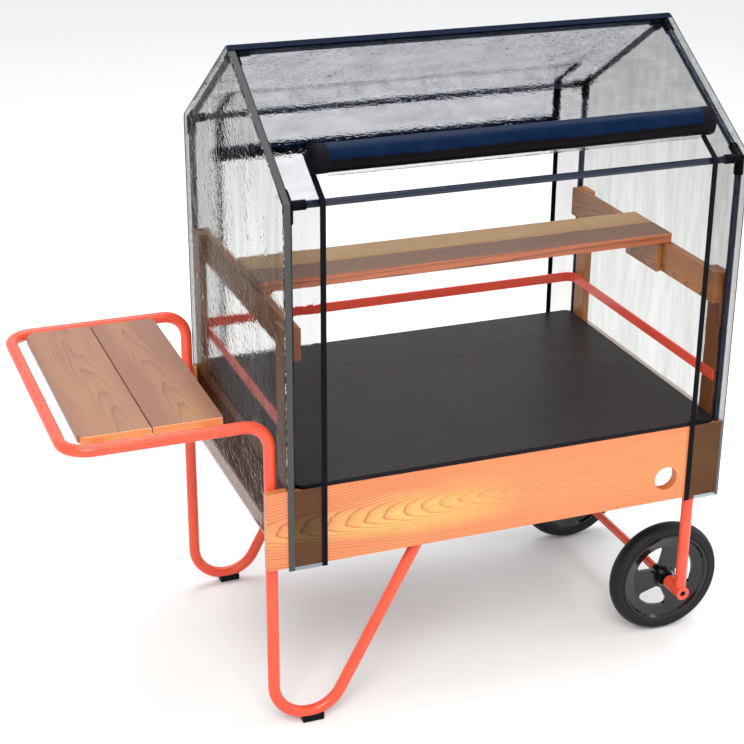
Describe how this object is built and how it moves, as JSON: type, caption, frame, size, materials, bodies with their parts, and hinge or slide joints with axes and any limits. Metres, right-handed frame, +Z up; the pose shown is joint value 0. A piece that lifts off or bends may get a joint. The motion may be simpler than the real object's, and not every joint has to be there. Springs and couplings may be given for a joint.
{
  "type": "push vending cart",
  "caption": "Push cart with a planked push-loop tray, wooden goods bay, loose shelf and a clear gabled rain cover on a bent tube chassis with spoked wheels.",
  "frame": {"origin": "on the floor, under the middle of the bounding box", "axes": "+X from the push handle towards the wheels, -Y towards the side whose cover is rolled up, +Z up"},
  "size_m": [1.689, 0.8259, 1.5425],
  "materials": {
    "orange_board": "satin varnish",
    "brown_frame": "satin varnish",
    "tray_wood": "satin varnish",
    "shelf_tan": "satin varnish",
    "shelf_mauve": "satin varnish",
    "coral_paint": "gloss",
    "red_paint": "gloss",
    "dark_laminate": "satin laminate",
    "navy_tube": "gloss",
    "black_plastic": "satin moulded",
    "clear_film": "clear flexible film",
    "black_film": "rolled flexible film",
    "navy_binding": "woven tape",
    "grey_tape": "woven tape",
    "tyre": "satin",
    "gloss_centre": "gloss",
    "bush_nylon": "matte",
    "plated_steel": "zinc plated"
  },
  "bodies": {
    "cart": {"axle_cross_tube": "coral_paint", "axle_end_screws": "plated_steel", "axle_rod": "plated_steel", "axle_washers": "plated_steel", "chassis_bolts": "plated_steel", "corner_post_back_left": "brown_frame", "corner_post_back_right": "brown_frame", "corner_post_front_left": "brown_frame", "corner_post_front_right": "brown_frame", "cover_posts_back": "navy_tube", "cover_posts_front": "navy_tube", "deck_battens": "brown_frame", "deck_panel": "dark_laminate", "eave_corners": "black_plastic", "eave_tube_back": "navy_tube", "eave_tube_front": "navy_tube", "end_board_left": "orange_board", "end_board_right": "orange_board", "end_rail_left": "brown_frame", "end_rail_right": "brown_frame", "film_gable_left": "clear_film", "film_gable_right": "clear_film", "film_roof_back": "clear_film", "film_roof_front": "clear_film", "film_strips_back": "clear_film", "film_strips_front": "clear_film", "flap_head_back": "clear_film", "flap_roll_front": "black_film", "foot_pad_back": "black_plastic", "foot_pad_front": "black_plastic", "guard_bar": "red_paint", "loop_spigots": "coral_paint", "opening_bindings_back": "navy_binding", "opening_bindings_front": "navy_binding", "push_loop": "coral_paint", "rafters_back": "navy_tube", "rafters_front": "navy_tube", "ridge_corners": "black_plastic", "ridge_tape": "navy_binding", "ridge_tube": "navy_tube", "seam_tape_left": "grey_tape", "side_board_back": "orange_board", "side_board_front": "orange_board", "side_frame_back": "coral_paint", "side_frame_front": "coral_paint", "tray_bearers": "coral_paint", "tray_plank_left": "tray_wood", "tray_plank_right": "tray_wood"},
    "wheel_front": {"tyre_front": "tyre", "wheel_centre_front": "gloss_centre", "wheel_bushes_front": "bush_nylon"},
    "wheel_back": {"tyre_back": "tyre", "wheel_centre_back": "gloss_centre", "wheel_bushes_back": "bush_nylon"},
    "shelf": {"shelf_plank_front": "shelf_mauve", "shelf_plank_back": "shelf_tan", "shelf_cleat_left": "brown_frame", "shelf_cleat_right": "brown_frame"},
    "back_flap": {"flap_roll_back": "black_film", "flap_sheet_back": "clear_film"}
  },
  "joints": [
    {"name": "wheel_front_spin", "type": "hinge", "parent": "cart", "child": "wheel_front", "pos_m": [0.6945, -0.2838, 0.15], "axis": [0, 1, 0], "continuous": true},
    {"name": "wheel_back_spin", "type": "hinge", "parent": "cart", "child": "wheel_back", "pos_m": [0.6945, 0.2442, 0.15], "axis": [0, 1, 0], "continuous": true},
    {"name": "shelf_slide", "type": "slide", "parent": "cart", "child": "shelf", "axis": [0, 1, 0], "range_m": [-0.23, 0.31]},
    {"name": "back_flap_lower", "type": "slide", "parent": "cart", "child": "back_flap", "axis": [0, 0, 1], "range_m": [-0.7, 0.06], "deforming": ["flap_sheet_back"]}
  ]
}
